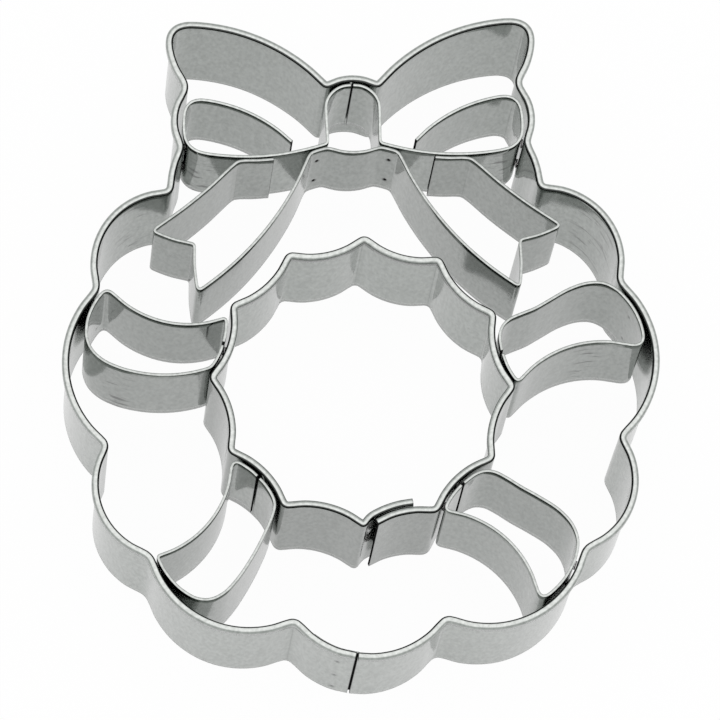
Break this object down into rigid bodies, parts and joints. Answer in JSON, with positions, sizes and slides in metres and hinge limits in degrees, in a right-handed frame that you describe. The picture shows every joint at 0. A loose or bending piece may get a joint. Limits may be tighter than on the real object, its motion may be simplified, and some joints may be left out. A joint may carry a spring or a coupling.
{
  "type": "cookie cutter",
  "caption": "Wreath-and-bow cookie cutter of thin bent steel strip with rolled top hems, an open centre ring and welded inner strips that emboss ribbon wraps, a bow and its tails.",
  "frame": {"origin": "under the middle of the whole outline, at the height of the cutting edges", "axes": "+Z from the cutting edges up to the hems, +Y from the wreath towards its bow, +X to the right"},
  "size_m": [0.089, 0.0996, 0.024],
  "materials": {
    "bright_steel": "bright rolled strip with faint drawn lines",
    "weld_steel": "dull and heat-darkened"
  },
  "bodies": {
    "root": {"bow_strip_left": "bright_steel", "bow_strip_right": "bright_steel", "inner_ring": "bright_steel", "outer_band": "bright_steel", "ribbon_strip": "bright_steel", "weld_band_seam_1": "weld_steel", "weld_band_seam_2": "weld_steel", "weld_band_seam_3": "weld_steel", "weld_bow_left_band_1": "weld_steel", "weld_bow_left_band_2": "weld_steel", "weld_bow_left_crown": "weld_steel", "weld_bow_right_band_1": "weld_steel", "weld_bow_right_band_2": "weld_steel", "weld_bow_right_crown": "weld_steel", "weld_ribbon_left_lap_1": "weld_steel", "weld_ribbon_left_lap_2": "weld_steel", "weld_ribbon_left_root_1": "weld_steel", "weld_ribbon_left_root_2": "weld_steel", "weld_ribbon_right_lap_1": "weld_steel", "weld_ribbon_right_lap_2": "weld_steel", "weld_ribbon_right_root_1": "weld_steel", "weld_ribbon_right_root_2": "weld_steel", "weld_ring_seam_1": "weld_steel", "weld_ring_seam_2": "weld_steel", "weld_ring_seam_3": "weld_steel", "weld_wrap_lower_left_band_1": "weld_steel", "weld_wrap_lower_left_band_2": "weld_steel", "weld_wrap_lower_left_foot_1": "weld_steel", "weld_wrap_lower_left_foot_2": "weld_steel", "weld_wrap_lower_right_band_1": "weld_steel", "weld_wrap_lower_right_band_2": "weld_steel", "weld_wrap_lower_right_foot_1": "weld_steel", "weld_wrap_lower_right_foot_2": "weld_steel", "weld_wrap_upper_left_band_1": "weld_steel", "weld_wrap_upper_left_band_2": "weld_steel", "weld_wrap_upper_left_foot_1": "weld_steel", "weld_wrap_upper_left_foot_2": "weld_steel", "weld_wrap_upper_right_band_1": "weld_steel", "weld_wrap_upper_right_band_2": "weld_steel", "weld_wrap_upper_right_foot_1": "weld_steel", "weld_wrap_upper_right_foot_2": "weld_steel", "wrap_lower_left": "bright_steel", "wrap_lower_right": "bright_steel", "wrap_upper_left": "bright_steel", "wrap_upper_right": "bright_steel"}
  },
  "joints": []
}
